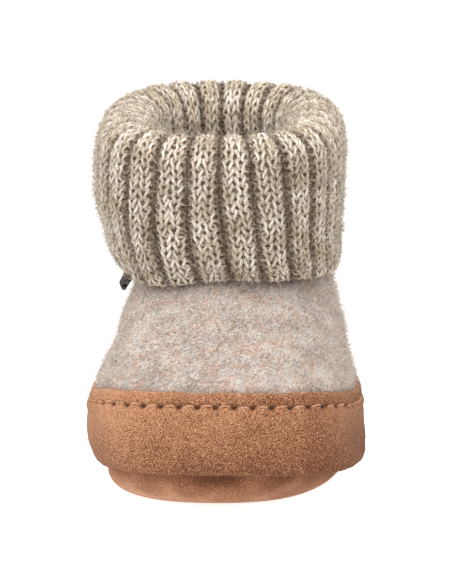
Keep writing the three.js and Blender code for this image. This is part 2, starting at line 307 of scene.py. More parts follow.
sole_points[..., :2] *= 1.0 + LASTING_DEPTH / SOLE_HALF_WIDTH * sole_pleat[..., None]
sole_suede = suede_material(
    "brushed_sole_suede",
    [(0.33, "#512e1e"), (0.42, "#86573d"), (0.478, "#996649"), (0.57, "#c08c6d"), (0.67, "#e3b698")],
    nap=0.28, patchy=0.3, rise=0.2)
outsole = add_piece(
    "outsole_suede", bend_to_foot(sole_points), skin(sole_points, False), sole_suede)
# Painted light at the sides and round the tread, and painted shade of the band under the rim
sole_side_light = np.abs(sole_points[..., 0] - SIDE_LIGHT_CENTRE) / SIDE_LIGHT_START - 1.0
sole_painted_light = SIDE_PAINTED_LIGHT * np.clip(sole_side_light, 0.0, SIDE_LIGHT_MOST)
sole_painted_light += TREAD_PAINTED_LIGHT * np.exp(-sole_height / TREAD_LIGHT_FADE)[:, None]
sole_painted_light -= RIM_PAINTED_SHADE * np.clip((sole_height - RIM_SHADE_START) / RIM_SHADE_SPAN, 0.0, 1.0)[:, None]
set_values(outsole, "painted_light_and_shade", sole_painted_light)
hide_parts("outsole")


# The insole
# A footbed of pressed wool felt, cut to the sole's outline and laid inside. It is plain, and a little dished
# under the heel and the ball.
INSOLE_LOW = 12.1
INSOLE_THICK = 4.0
INSOLE_INSET = -2.1
INSOLE_EDGE = 1.0
INSOLE_STEPS = 240
INSOLE_RINGS = 13
INSOLE_EDGE_RINGS = 5
# Each footprint: place along the boot, reach along, reach across, and depth
FOOTPRINTS = [(-24.0, 26.0, 24.0, 0.5), (44.0, 20.0, 22.0, 0.6)]


def felt_material(name, stops, flecks, rise):
    """Wool felt: crimped fibres matted at random. It is quite dull, with faint patches of dye and heathered
    with lighter and darker fibres, which are drawn about twice as coarse as real ones, so that they show."""
    material = new_material(name)
    place = add_node(material, "TexCoord").outputs["Object"]
    matting = add_node(material, "TexNoise", {
        "Vector": place, "Scale": per_mm(0.7), "Detail": 4.0, "Roughness": 0.65, "Distortion": 1.2})
    strands = add_node(material, "Mapping", {
        "Vector": place, "Scale": (3.2, 3.2, 0.6), "Rotation": (0.2, -0.35, 0.0)}, vector_type="TEXTURE")
    fibres = add_node(material, "TexNoise", {
        "Vector": strands, "Scale": per_mm(0.6), "Detail": 3.0, "Roughness": 0.65, "Distortion": 2.2})
    clouds = add_node(material, "TexNoise", {
        "Vector": place, "Scale": per_mm(7.0), "Detail": 3.0, "Roughness": 0.5})
    heather = add_node(material, "Mix", {0: 0.5, 2: matting, 3: fibres})
    tone = add_node(material, "Mix", {0: 0.15, 2: heather, 3: clouds})
    colour = add_node(material, "ValToRGB", {"Fac": tone}, stops)
    stray = add_node(material, "TexNoise", {
        "Vector": place, "Scale": per_mm(1.3), "Detail": 3.0, "Roughness": 0.8, "Distortion": 3.0})
    stray_share = add_node(material, "ValToRGB", {"Fac": stray}, [(0.6, "#000000"), (0.72, "#9a9a9a")])
    flecked = add_node(material, "Mix", {0: stray_share, 6: colour, 7: linear(flecks)}, data_type="RGBA")
    dye = add_node(material, "TexNoise", {
        "Vector": place, "Scale": per_mm(5.0), "Detail": 2.0, "Roughness": 0.6, "Distortion": 1.5})
    dye_colour = add_node(material, "ValToRGB", {"Fac": dye}, [
        (0.38, "#d6ab91"), (0.5, "#c9bab0"), (0.62, "#bcb9b7")])
    dyed = add_node(material, "Mix", {
        0: 0.4, 6: flecked.outputs[2], 7: dye_colour}, data_type="RGBA", blend_type="COLOR")
    finish_surface(material, dyed.outputs[2], heather, 0.55, rise, {
        "Roughness": 0.95, "Specular IOR Level": 0.15, "Sheen Weight": 0.15, "Sheen Roughness": 0.6,
        "Sheen Tint": linear("#efe6dd")})
    return material


insole_round = np.linspace(0.0, math.pi / 2, INSOLE_EDGE_RINGS)
insole_top = INSOLE_LOW + INSOLE_THICK
insole_flat = np.linspace(0.0, 1.0, INSOLE_RINGS + 1)[1:]
insole_height = np.concatenate([
    np.full_like(insole_flat, INSOLE_LOW),
    INSOLE_LOW + INSOLE_EDGE * (1.0 - np.cos(insole_round)),
    insole_top - INSOLE_EDGE * (1.0 - np.sin(insole_round)),
    np.full_like(insole_flat, insole_top)])
insole_reach = SOLE_MIDDLE - INSOLE_INSET + INSOLE_EDGE
insole_spread = INSOLE_INSET + np.concatenate([
    insole_reach * insole_flat[::-1] - INSOLE_EDGE,
    INSOLE_EDGE * (np.sin(insole_round) - 1.0),
    INSOLE_EDGE * (np.cos(insole_round) - 1.0),
    insole_reach * insole_flat - INSOLE_EDGE])
insole_points = sole_rings(insole_height, insole_spread, even_turns(INSOLE_STEPS))
insole_upward = np.clip((insole_height - INSOLE_LOW) / INSOLE_THICK, 0.0, 1.0)[:, None]
for print_place, print_length, print_width, print_depth in FOOTPRINTS:
    insole_points[..., 2] -= insole_upward * print_depth * bell(
        (insole_points[..., 1] - print_place) / print_length) * bell(insole_points[..., 0] / print_width)
insole_felt = felt_material(
    "pressed_wool_insole",
    [(0.25, "#83756a"), (0.45, "#a5978b"), (0.6, "#b8ab9f"), (0.78, "#cfc4b9")], "#6f6057", rise=0.3)
insole = add_piece(
    "insole_felt", bend_to_foot(insole_points), skin(insole_points, False), insole_felt)
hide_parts("insole")


# The upper
# One shell of felted wool, 3 mm thick, shrunk on the last so that it has no seam. It is open at the ankle and
# underneath, swells over the edge of the band, and has soft creases where the foot bends.
FELT_WALL = 3.0
FEATHER_LINE = 12.1
ANKLE_SEAM = 71.0
# Sections of the last, with each side, toe and heel measured in from the boot's box
LAST = [
    [9.8, 3.9, 5.4, 5.2, -26, 2.8, 3.0, 1.9, 0.21],
    [12.1, 3.3, 4.1, 3.9, -26, 2.8, 3.0, 1.2, 0.21],
    [15.5, 2.6, 3.0, 2.9, -26, 2.8, 3.0, 0.5, 0.21],
    [20.0, 2.5, 2.5, 2.5, -26, 2.8, 3.0, 0, 0.21],
    [25.0, 2.6, 2.7, 2.6, -26, 2.8, 3.0, 0, 0.21],
    [29.0, 2.9, 3.5, 3.0, -26, 2.8, 3.0, 0, 0.21],
    [33.0, 3.3, 4.8, 3.6, -26, 2.8, 3.0, 0.2, 0.2],
    [39.0, 4.3, 9.4, 4.8, -22, 2.6, 2.9, 0.4, 0.16],
    [45.5, 6.7, 17.6, 6.5, -16, 2.5, 2.8, 0.75, 0.11],
    [51.5, 9.5, 27.6, 8.2, -7, 2.4, 2.6, 0.75, 0.06],
    [56.5, 11.9, 36.4, 9.7, 3, 2.3, 2.5, 0.6, 0.03],
    [61.0, 13.3, 43.5, 11.0, 11, 2.2, 2.4, 0.1, 0],
    [66.0, 13.4, 48.5, 12.2, 16, 2.2, 2.3, 0, 0],
    [71.0, 13.2, 51.5, 13.0, 19, 2.2, 2.2, 0, 0],
]
FELT_RINGS = 96
FELT_STEPS = 360
FELT_INNER_RINGS = 14
FELT_SWELL = 1.1
SWELL_ABOVE = 2.6
SWELL_REACH = 2.2
EDGE_TUCK = 0.15
FELT_UNEVENNESS = 0.07
# Each slow wave of the felt: waves round the boot, millimetres of height to a radian, and start
FELT_WAVES = [(9.0, 6.0, 0.0), (5.0, -4.3, 1.0), (14.0, 3.1, 0.0)]
# Each crease: share of the way round, height, reach round in shares, reach up, depth, and slant up per share
CREASES = [
    (0.175, 43.0, 0.045, 3.2, 0.7, -60.0),
    (0.820, 44.0, 0.05, 3.4, 0.8, 55.0),
    (0.215, 50.5, 0.05, 3.0, 0.5, -40.0),
    (0.770, 52.0, 0.045, 2.8, 0.55, 35.0),
    (0.035, 50.0, 0.035, 3.6, 0.35, 30.0),
    (0.945, 47.0, 0.03, 4.5, 0.3, -20.0),
    (0.430, 49.0, 0.05, 3.2, 0.5, 25.0),
    (0.585, 51.0, 0.05, 3.0, 0.5, -25.0),
]
FUZZ_SEED = 11
FELT_HAIRS = 26000
HAIR_BEND = 0.45
FELT_HAIR_WIDTH = 0.075
FELT_HAIR_SHORTEST = 0.6
FELT_HAIR_MEAN = 1.1
FELT_HAIR_LONGEST = 5.0


def smooth_columns(columns, key, places):
    """Each column of a table at the given places of its key column, by cubics through the rows. The slope at
    a row is the mean slope to its neighbours."""
    knots = columns[key]
    places = np.clip(places, knots[0], knots[-1])
    row = np.clip(np.searchsorted(knots, places, side="right") - 1, 0, len(knots) - 2)
    span = knots[row + 1] - knots[row]
    t = (places - knots[row]) / span
    blended = {}
    for name, values in columns.items():
        slope = np.gradient(values, knots)
        start = (1.0 + 2.0 * t) * (1.0 - t) ** 2 * values[row] + t * (1.0 - t) ** 2 * span * slope[row]
        end = t ** 2 * (3.0 - 2.0 * t) * values[row + 1] - t ** 2 * (1.0 - t) * span * slope[row + 1]
        blended[name] = start + end
    return blended


def unit(vectors):
    """Vectors divided by their lengths."""
    return vectors / np.linalg.norm(vectors, axis=-1, keepdims=True)


def normals_of(points):
    """Unit normals of a stack of rings: the way round crossed with the way up."""
    around = np.roll(points, -1, axis=1) - np.roll(points, 1, axis=1)
    return unit(np.cross(around, np.gradient(points, axis=0)))


def felt_face(heights, turns):
    """The felt's outer face before it is bent, with its normals: sections of the last at the heights."""
    points = level_sections(smooth_columns(last, "height", heights), turns)
    return points, normals_of(points)


def felt_relief(heights, turns):
    """How far the felt swells or sinks: a swelling over the band's edge, the creases as soft troughs with a
    ridge on each side, and a slow unevenness from a few waves."""
    height = heights[:, None]
    relief = FELT_SWELL * bell((height - BAND_TOP - SWELL_ABOVE) / SWELL_REACH)
    relief = relief - EDGE_TUCK * bell(height - BAND_TOP)
    for place, middle, reach_round, reach_up, depth, slant in CREASES:
        along = (turns - place + 0.5) % 1.0 - 0.5
        across = (height - middle - slant * along) / reach_up
        relief = relief - depth * (1.0 - 0.9 * across ** 2) * bell(across) * bell(along / reach_round)
    for count, span, start in FELT_WAVES:
        relief = relief + FELT_UNEVENNESS * np.sin(FULL_TURN * count * turns + height / span + start)
    return relief


def add_hairs(name, roots, ways, lengths, width, shade, material, generator):
    """Adds fine hairs as narrow blades. Each starts at its root, goes its own way, bends half way up to a
    random side and ends in a point, and is a quad with a triangle on it. Its tone is random, up to shade."""
    count = len(roots)
    ways = unit(ways)
    side = width / 2.0 * unit(np.cross(ways, generator.normal(size=(count, 3))))
    bend = generator.normal(scale=HAIR_BEND, size=(count, 3))
    middle = roots + ways * lengths[:, None] * 0.5
    tip = middle + (ways + bend) * lengths[:, None] * 0.5
    points = np.stack([roots - side, roots + side, middle + side * 0.8, middle - side * 0.8, tip], axis=1)
    first = np.arange(count)[:, None] * 5
    faces = (first + np.arange(4)).tolist() + (first + np.array([3, 2, 4])).tolist()
    hairs = add_piece(name, points, faces, material)
    set_values(hairs, "tone", np.repeat(generator.random(count) * shade, 5))


def hair_material(name, stops):
    """Loose fibres, dull and so thin that they read as a soft edge. Each hair has its own tone."""
    material = new_material(name)
    tone = add_node(material, "Attribute", attribute_name="tone")
    colour = add_node(material, "ValToRGB", {"Fac": tone.outputs["Fac"]}, stops)
    shader = add_node(material, "BsdfPrincipled", {
        "Base Color": colour, "Roughness": 0.8, "Specular IOR Level": 0.2})
    add_node(material, "OutputMaterial", {"Surface": shader})
    return material


last = dict(zip(SECTION_SIZES, np.array(LAST, dtype=float).T))
last["half_width"] = BALL_WIDTH / 2 - last["half_width"]
last["toe"] = last["toe"] - LENGTH / 2
last["heel"] = LENGTH / 2 - last["heel"]
felt_heights = np.linspace(FEATHER_LINE, ANKLE_SEAM, FELT_RINGS)
felt_turns = even_turns(FELT_STEPS)
felt_base, felt_normals = felt_face(felt_heights, felt_turns)
felt_outer = felt_base + felt_normals * felt_relief(felt_heights, felt_turns)[..., None]
inner_base, inner_normals = felt_face(np.linspace(FEATHER_LINE, ANKLE_SEAM, FELT_INNER_RINGS), felt_turns)
felt_inner = inner_base - FELT_WALL * inner_normals
felt_inner[0, :, 2] = FEATHER_LINE
felt_inner[-1, :, 2] = ANKLE_SEAM
felt_shell = bend_to_foot(np.concatenate([felt_outer, felt_inner[::-1]]))
felted_wool = felt_material(
    "felted_wool",
    [(0.405, "#715f52"), (0.475, "#a09086"), (0.525, "#b6a89d"), (0.595, "#d9cec4")], "#806653", rise=0.4)
upper = add_piece("upper_felt", felt_shell, skin(felt_shell, True), felted_wool)
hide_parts("upper")

# Loose hairs of the felt, most of them near the band, where they lean down over its edge
generator = np.random.default_rng(FUZZ_SEED)
hair_low = np.searchsorted(felt_heights, BAND_TOP + 0.6)
hair_rows = hair_low + ((FELT_RINGS - 8 - hair_low) * generator.random(FELT_HAIRS) ** 1.5).astype(int)
hair_steps = generator.integers(0, FELT_STEPS, FELT_HAIRS)
bent_felt = bend_to_foot(felt_outer)
hair_ways = 0.75 * normals_of(bent_felt)[hair_rows, hair_steps]
hair_ways += generator.normal(scale=0.55, size=(FELT_HAIRS, 3))
hair_ways[:, 2] -= 0.9 * bell((felt_heights[hair_rows] - BAND_TOP) / 3.0)
hair_roots = bent_felt[hair_rows, hair_steps] + generator.normal(scale=0.25, size=(FELT_HAIRS, 3))
hair_lengths = FELT_HAIR_SHORTEST + generator.exponential(FELT_HAIR_MEAN, FELT_HAIRS)
felt_hairs = hair_material("felt_hairs", [(0.0, "#a08c7e"), (0.5, "#d6c9bf"), (1.0, "#f3ebe3")])
add_hairs(
    "upper_fuzz", hair_roots, hair_ways, np.minimum(hair_lengths, FELT_HAIR_LONGEST), FELT_HAIR_WIDTH, 1.0,
    felt_hairs, generator)


# The suede band
# A strip of tan suede, 2.2 mm thick, wrapped round the join of felt and sole. One row of saddle stitches near
# its top edge holds it, and between the holes the suede puffs up under the thread.
BAND_LOW = 9.8
SUEDE = 2.2
BAND_GAP = 0.3
SEAM_HEIGHT = 29.4
STITCHES = 68
BAND_STEPS = STITCHES * 12
STITCH_PITCH = 5.4
# The band's profile below its face, over its top edge and down its back: height and distance off the felt
BAND_FOOT = [[9.85, 1.3], [9.95, 1.95], [10.25, 2.35]]
BAND_CREST = [[33.25, 1.9], [33.4, 1.45], [33.4, 0.9], [33.2, 0.45]]
BAND_BACK = [[32.0, 0.3], [27.0, 0.3], [21.0, 0.3], [15.0, 0.3], [10.6, 0.32], [9.95, 0.7]]
BAND_NORMAL_ROWS = 60
# Each wave of the band's cut edges: waves round the boot, size, and start
EDGE_WAVES = [(17.0, 0.08, 0.0), (29.0, 0.07, 1.3), (53.0, 0.07, 0.4)]
EDGE_REACH = 1.5
LOW_EDGE_TOP = 11.5
GROOVE_DEPTH = 0.3
GROOVE_ARCH = 0.55
PIT_DEPTH = 1.3
PUFF_HEIGHT = 0.45
STRIP_PUFF = 0.2
STRIP_PRESS = 0.35
BAND_SLACK = 0.12
# Painted shade in the seam: the holes darkest, the groove over each stitch less
HOLE_PAINTED_SHADE = 0.95
GROOVE_PAINTED_SHADE = 0.12
SEAM_SHADE_MOST = 0.9
THREAD_RADIUS = 0.32
STITCH_ENDS = (0.17, 0.83)
STITCH_SUNK = 1.25
STITCH_RISE = 1.15
STITCH_SLANT = 0.28
STITCH_UNEVEN = 0.12
STITCH_BOW = 0.4
THREAD_SAMPLES = 11
THREAD_SIDES = 6
STITCH_SEED = 3
# Painted light on the band: paler to the inner side and up the band, with a painted highlight on the cut edge
BAND_PAINTED_LIGHT_SCALE = 0.024
INNER_SIDE_PAINTED_LIGHT = 1.3
UPPER_PART_PAINTED_LIGHT = 1.7
STRIP_DEEP = 1.8
CUT_EDGE_PAINTED_HIGHLIGHT = 1.8
NAP_HAIRS = 9000
NAP_LENGTHS = (0.3, 0.9)
NAP_WIDTH = 0.09


def band_seam(heights, turns):
    """The stitched seam in the band's face, as how far it rises and how much painted shade it gets. A groove
    arches over each stitch, with a pit at each hole, a puff below between the holes and a strip above that is
    pressed flatter. The holes get the most painted shade, and the groove less."""
    height = heights[:, None] - SEAM_HEIGHT
    share = turns * STITCHES % 1.0
    from_hole = np.minimum(share, 1.0 - share) * STITCH_PITCH
    arch = np.sin(math.pi * share)
    above_groove = height - GROOVE_ARCH * arch
    rise = -GROOVE_DEPTH * bell(above_groove / 0.55) - PIT_DEPTH * bell(from_hole) * bell(height / 0.8)
    rise += PUFF_HEIGHT * arch * bell((height + 1.5) / 1.2) + STRIP_PUFF * arch * bell((height - 2.0) / 0.9)
    rise -= STRIP_PRESS * np.clip(height / 1.5, 0.0, 1.0)
    rise += BAND_SLACK * np.sin(11.0 * FULL_TURN * turns + 0.8) * bell((height + 11.0) / 7.0)
    holes = bell(from_hole / 1.05) * bell((height - 0.3 * from_hole ** 2) / 0.6)
    return rise, np.clip(HOLE_PAINTED_SHADE * holes + GROOVE_PAINTED_SHADE * bell(above_groove / 0.4), 0.0, SEAM_SHADE_MOST)


band_body = np.concatenate([
    np.linspace(10.7, 26.4, 16), np.linspace(26.8, 31.8, 21), np.linspace(32.1, BAND_TOP, 4)])
band_profile = np.concatenate([
    BAND_FOOT, np.stack([band_body, np.full_like(band_body, BAND_GAP + SUEDE)], axis=1), BAND_CREST,
    BAND_BACK])
band_at = band_profile[:, 0]
band_turns = even_turns(BAND_STEPS)
band_on_face = np.clip((band_profile[:, 1] - 0.9) / 1.4, 0.0, 1.0)[:, None]
band_rise, band_painted_shade = band_seam(band_at, band_turns)
band_offset = band_profile[:, 1][:, None] + band_on_face * band_rise
_, smooth_normals = felt_face(np.linspace(BAND_LOW, BAND_TOP + 1.0, BAND_NORMAL_ROWS), band_turns)
normal_row = (band_at - BAND_LOW) / (BAND_TOP + 1.0 - BAND_LOW) * (BAND_NORMAL_ROWS - 1)
normal_low = np.clip(normal_row.astype(int), 0, BAND_NORMAL_ROWS - 2)
normal_share = np.clip(normal_row - normal_low, 0.0, 1.0)[:, None, None]
band_move = smooth_normals[normal_low] * (1.0 - normal_share) + smooth_normals[normal_low + 1] * normal_share
band_move *= band_offset[..., None]
band_move[..., 2] *= np.clip((band_at - BAND_LOW) / (FEATHER_LINE - BAND_LOW), 0.0, 1.0)[:, None]
band_solid = level_sections(smooth_columns(last, "height", band_at), band_turns) + band_move
near_edge = np.maximum((band_at - BAND_TOP) / EDGE_REACH + 1.0, (LOW_EDGE_TOP - band_at) / EDGE_REACH)
near_edge = np.clip(near_edge, 0.0, 1.0)[:, None]
for count, size, start in EDGE_WAVES:
    band_solid[..., 2] += near_edge * size * np.sin(FULL_TURN * count * band_turns + start)
band_suede = suede_material(
    "napped_band_suede",
    [(0.41, "#4d2511"), (0.476, "#865538"), (0.524, "#9c6a49"), (0.59, "#cc9975")],
    nap=0.33, patchy=0.09, rise=0.45)
bent_band = bend_to_foot(band_solid)
band = add_piece("band_suede", bent_band, skin(bent_band, True), band_suede)
# The seam's painted shade goes into the band's tone
set_values(band, "tone", band_on_face * band_painted_shade)
# Painted light on the band: paler to the inner side, which faces the key light, and paler up the band, where
# light falls from above, with a painted highlight on its cut edge; the strip above the seam is darker, except
# at the inner end
band_height = band_at[:, None]
band_painted_light = INNER_SIDE_PAINTED_LIGHT * np.clip(-band_solid[..., 0] / 30.0, -1.0, 1.0)
band_painted_light += UPPER_PART_PAINTED_LIGHT * np.clip((band_height - 21.0) / 9.0, -1.0, 1.0)
band_strip = np.clip((band_height - SEAM_HEIGHT) / 0.8, 0.0, 1.0)
band_painted_light -= STRIP_DEEP * band_strip * np.clip((band_solid[..., 0] + 32.0) / 16.0, 0.0, 1.0)
band_painted_light += CUT_EDGE_PAINTED_HIGHLIGHT * np.clip((band_height - 32.0) / 1.2, 0.0, 1.0)
set_values(band, "painted_light_and_shade", BAND_PAINTED_LIGHT_SCALE * band_painted_light)
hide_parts("suede_band")


def tube(paths, normals, radii, sides, closed):
    """Tubes round a set of paths, which may be closed rings. Each cross-section is a circle in the plane of
    the surface's normal and the direction square to it and to the path."""
    steps = np.roll(paths, -1, axis=1) - np.roll(paths, 1, axis=1) if closed else np.gradient(paths, axis=1)
    along = unit(steps)
    across = unit(np.cross(along, normals))
    outward = np.cross(across, along)
    angles = even_turns(sides) * FULL_TURN
    circle = np.cos(angles)[:, None] * outward[..., None, :] + np.sin(angles)[:, None] * across[..., None, :]
    return paths[..., None, :] + circle * np.broadcast_to(radii, paths.shape[:2])[..., None, None]


def tube_faces(points, closed):
    """Faces of a number of tubes: each corner goes to the next side and on to the next sample."""
    index = np.arange(points.size // 3).reshape(points.shape[:3])
    low = index if closed else index[:, :-1]
    high = np.roll(index, -1, axis=1) if closed else index[:, 1:]
    quads = np.stack([low, np.roll(low, -1, axis=2), np.roll(high, -1, axis=2), high], axis=-1)
    return quads.reshape(-1, 4).tolist()


stitch_share = np.linspace(*STITCH_ENDS, THREAD_SAMPLES)
stitch_turns = (np.arange(STITCHES)[:, None] + stitch_share).ravel() / STITCHES
stitch_arch = np.sin(math.pi * np.linspace(0.0, 1.0, THREAD_SAMPLES))
seam_face, seam_normals = felt_face(SEAM_HEIGHT + np.array([-0.5, 0.0, 0.5]), stitch_turns)
stitch_lift = BAND_GAP + SUEDE - STITCH_SUNK + STITCH_RISE * np.tile(stitch_arch, STITCHES) ** 0.5
stitch_line = bend_to_foot(seam_face[1] + seam_normals[1] * stitch_lift[:, None])
stitch_paths = stitch_line.reshape(STITCHES, THREAD_SAMPLES, 3)
stitch_slant = np.linspace(-STITCH_SLANT, STITCH_SLANT, THREAD_SAMPLES)
stitch_generator = np.random.default_rng(STITCH_SEED)
stitch_paths[..., 2] += stitch_slant * stitch_generator.uniform(0.3, 1.7, STITCHES)[:, None]
stitch_paths[..., 2] += stitch_generator.normal(scale=STITCH_UNEVEN, size=STITCHES)[:, None]
stitch_paths[..., 2] += STITCH_BOW * stitch_arch
stitch_radii = THREAD_RADIUS * np.clip(stitch_arch * 6.0, 0.03, 1.0)
stitch_normals = seam_normals[1].reshape(stitch_paths.shape)
thread_points = tube(stitch_paths, stitch_normals, stitch_radii, THREAD_SIDES, False)

# Waxed linen thread, twisted: tan and close to the suede's own colour, flecked darker between its plies
linen_thread = new_material("waxed_linen_thread")
thread_place = add_node(linen_thread, "TexCoord").outputs["Object"]
thread_noise = add_node(linen_thread, "TexNoise", {
    "Vector": thread_place, "Scale": per_mm(0.6), "Detail": 3.0, "Roughness": 0.6})
thread_colour = add_node(
    linen_thread, "ValToRGB", {"Fac": thread_noise}, [(0.3, "#936448"), (0.6, "#cb9b7a")])
finish_surface(linen_thread, thread_colour, thread_noise, 0.5, 0.2, {
    "Roughness": 0.7, "Specular IOR Level": 0.3})
add_piece("band_thread", thread_points, tube_faces(thread_points, False), linen_thread)

# Short fibres that stand off the nap
nap_rows = stitch_generator.integers(0, len(band_body) + 6, NAP_HAIRS)
nap_steps = stitch_generator.integers(0, BAND_STEPS, NAP_HAIRS)
nap_ways = normals_of(bent_band)[nap_rows, nap_steps]
nap_ways += stitch_generator.normal(scale=0.9, size=(NAP_HAIRS, 3))
nap_lengths = stitch_generator.uniform(*NAP_LENGTHS, NAP_HAIRS)
nap_fibres = hair_material("suede_fibres", [(0.0, "#6b4128"), (0.5, "#9a6c4e"), (1.0, "#c79a7b")])
add_hairs(
    "band_nap", bent_band[nap_rows, nap_steps], nap_ways, nap_lengths, NAP_WIDTH, 1.0, nap_fibres,
    stitch_generator)


# The cuff
# A tube of ragg wool, knitted in ribs of two plain columns and one purled, sewn to the ankle and turned down
# over the outside. The yarn is a cream and a brown ply twisted together, and its loops are modelled.
CUFF_TOP = 102.4
KNIT_WALL = 3.6
ROLL_RADIUS = 6.9
SHOULDER = CUFF_TOP - KNIT_WALL / 2 - ROLL_RADIUS
CUFF_SIZES = SECTION_SIZES[:-1] + ["flare"]
CUFF_OUTSIDE = [
    [58.2, 29.3, -35.6, 64.0, 7, 2.5, 2.3, -0.1, 5.2],
    [67.0, 31.2, -34.2, 64.2, 12, 2.7, 2.4, -2.0, 3.4],
    [79.0, 33.4, -33.0, 64.0, 15, 2.9, 2.5, -3.5, 2.2],
    [SHOULDER, 33.8, -30.4, 62.4, 17, 2.9, 2.6, -3.7, 0.0],
]
CUFF_INSIDE = [
    [SHOULDER, 20.0, -16.6, 48.6, 17, 2.9, 2.6, -3.7, 0.0],
    [82.0, 21.6, -17.2, 51.8, 18, 2.6, 2.4, -2.4, 0.0],
    [71.3, 25.0, -19.0, 57.5, 19, 2.3, 2.3, 0.0, 0.0],
]
ROLL_STEPS = 12
HEM_FRONT_RISE = 4.0
HEM_TUCK = 3.8
HEM_DIP = 2.1
HEM_DIP_ANGLE = -0.5
HEM_DIP_REACH = 0.3
HEM_REACH = 9.0
FLARE_ANGLE = -1.95
FLARE_REACH = 0.6
GRID_ROWS = 240
GRID_STEPS = 560
RIBS = 28
WALES_PER_RIB = 3
WALES = RIBS * WALES_PER_RIB
# Each wale's edges across one rib, as shares of the rib: plain, plain, purled
WALE_EDGES = [0.0, 0.37, 0.74, 1.0]
RIB_PHASE = 0.217 - 0.87
VALLEY_NARROWNESS = 4.5
# Each slow wave of the ribs: how far to a side in ribs, millimetres of run to a radian, and waves round
RIB_WANDER = [(0.05, 11.0, 3.0), (0.03, 6.0, -5.0)]
GROUND_ROWS = 60
GROUND_STEPS = RIBS * 8
GROUND_LIFT = 0.3
GROUND_VALLEY = 1.4
COURSES = 34
COURSE_START = 0.78
STITCH_SAMPLES = 14
YARN_SIDES = 5
YARN_RADIUS = 0.5
LOOP_WIDTH = 1.5
LOOP_HEIGHT = 1.8
LOOP_DEPTH = 0.62
CREST_LIFT = 0.95
VALLEY_LIFT = -0.45
# How loosely the loops lie: in height and depth in millimetres, to a side in wales, and in twist in radians
LOOSENESS = [0.22, 0.15, 0.1, 0.9]
KNIT_PIECES = [("knit_outside", 0, 14), ("knit_roll", 14, 24), ("knit_inside", 24, 34)]
# The courses from here up, over the roll and down the inside, are painted lighter: painted light from above
PAINTED_LIGHT_START = 14.0
PAINTED_LIGHT_SPAN = 4.0
KNIT_SEED = 5
KNIT_HAIRS = 60000
KNIT_HAIR_LENGTHS = (0.9, 3.8)
KNIT_HAIR_WIDTH = 0.1
# How much darker hairs in a valley are: painted shade, partly browner yarn
VALLEY_HAIR_BROWN_AND_SHADE = 0.95

cuff_outside = np.array(CUFF_OUTSIDE)
roll_turn = np.linspace(0.0, math.pi, ROLL_STEPS + 1)[1:-1]
roll_inward = ROLL_RADIUS * (1.0 - np.cos(roll_turn))
cuff_roll = np.repeat(cuff_outside[-1:], ROLL_STEPS - 1, axis=0)
cuff_roll[:, 0] += ROLL_RADIUS * np.sin(roll_turn)
cuff_roll[:, 1] -= roll_inward
cuff_roll[:, 2] += roll_inward
cuff_roll[:, 3] -= roll_inward
cuff_table = dict(zip(CUFF_SIZES, np.concatenate([cuff_outside, cuff_roll, CUFF_INSIDE]).T))
cuff_steps = np.hypot(np.diff(cuff_table["half_width"]), np.diff(cuff_table["height"]))
cuff_table["run"] = np.concatenate([[0.0], np.cumsum(cuff_steps)])
CUFF_RUN = cuff_table["run"][-1]


def cuff_middle(runs, turns):
    """The middle of the knitted wall, by runs up from the hem and shares of the way round: ovals that lean
    and flare, with a hem that rises over the instep and dips beside it."""
    rows = smooth_columns(cuff_table, "run", runs)
    rows["heel_taper"] = 0.0
    points = level_sections(rows, turns)
    angle = FULL_TURN * ((turns + 0.5) % 1.0 - 0.5)
    points[..., 0] -= rows["flare"][:, None] * bell((angle - FLARE_ANGLE) / FLARE_REACH)
    instep = np.maximum(0.0, np.cos(angle)) ** 2
    hem = HEM_FRONT_RISE * instep - HEM_DIP * bell((angle - HEM_DIP_ANGLE) / HEM_DIP_REACH)
    near_hem = np.maximum(0.0, 1.0 - runs / HEM_REACH)[:, None]
    points[..., 1] += near_hem * HEM_TUCK * instep ** 3
    points[..., 2] += near_hem * hem
    return points


cuff_grid = cuff_middle(np.linspace(0.0, CUFF_RUN, GRID_ROWS), even_turns(GRID_STEPS))
cuff_normals = normals_of(cuff_grid)


def on_cuff(runs, turns, lifts):
    """Points at a run up the knit, a share of the way round and a lift off the middle of the wall, with the
    wall's normals there, read between the four nearest points of a fine grid."""
    row = np.clip(runs / CUFF_RUN * (GRID_ROWS - 1), 0.0, GRID_ROWS - 1.001)
    step = (turns % 1.0) * GRID_STEPS
    low_row = row.astype(int)
    low_step = step.astype(int) % GRID_STEPS
    next_step = (low_step + 1) % GRID_STEPS
    up = (row - low_row)[..., None]
    on = (step - np.floor(step))[..., None]

    def between(grid):
        low = grid[low_row, low_step] * (1.0 - on) + grid[low_row, next_step] * on
        high = grid[low_row + 1, low_step] * (1.0 - on) + grid[low_row + 1, next_step] * on
        return low * (1.0 - up) + high * up

    normals = between(cuff_normals)
    return between(cuff_grid) + normals * lifts[..., None], normals


def rib_share(wales):
    """The share of the way through a rib, plus the rib's number, for a place counted in wales."""
    return np.interp((wales + 0.5) % WALES_PER_RIB, range(WALES_PER_RIB + 1), WALE_EDGES) + np.floor(
        (wales + 0.5) / WALES_PER_RIB)


def rib_depth(shares):
    """How deep the rib lies: 0 on the crest between the plain wales and 1 in the purled column. It is a wave
    raised to a power that makes the valley narrow."""
    return (0.5 - 0.5 * np.cos(FULL_TURN * (shares - WALE_EDGES[1]))) ** VALLEY_NARROWNESS


def rib_wander(runs, turns):
    """How far ribs stray to a side, in ribs: the sum of slow waves."""
    return sum(
        size * np.sin(runs / span + FULL_TURN * count * turns) for size, span, count in RIB_WANDER)


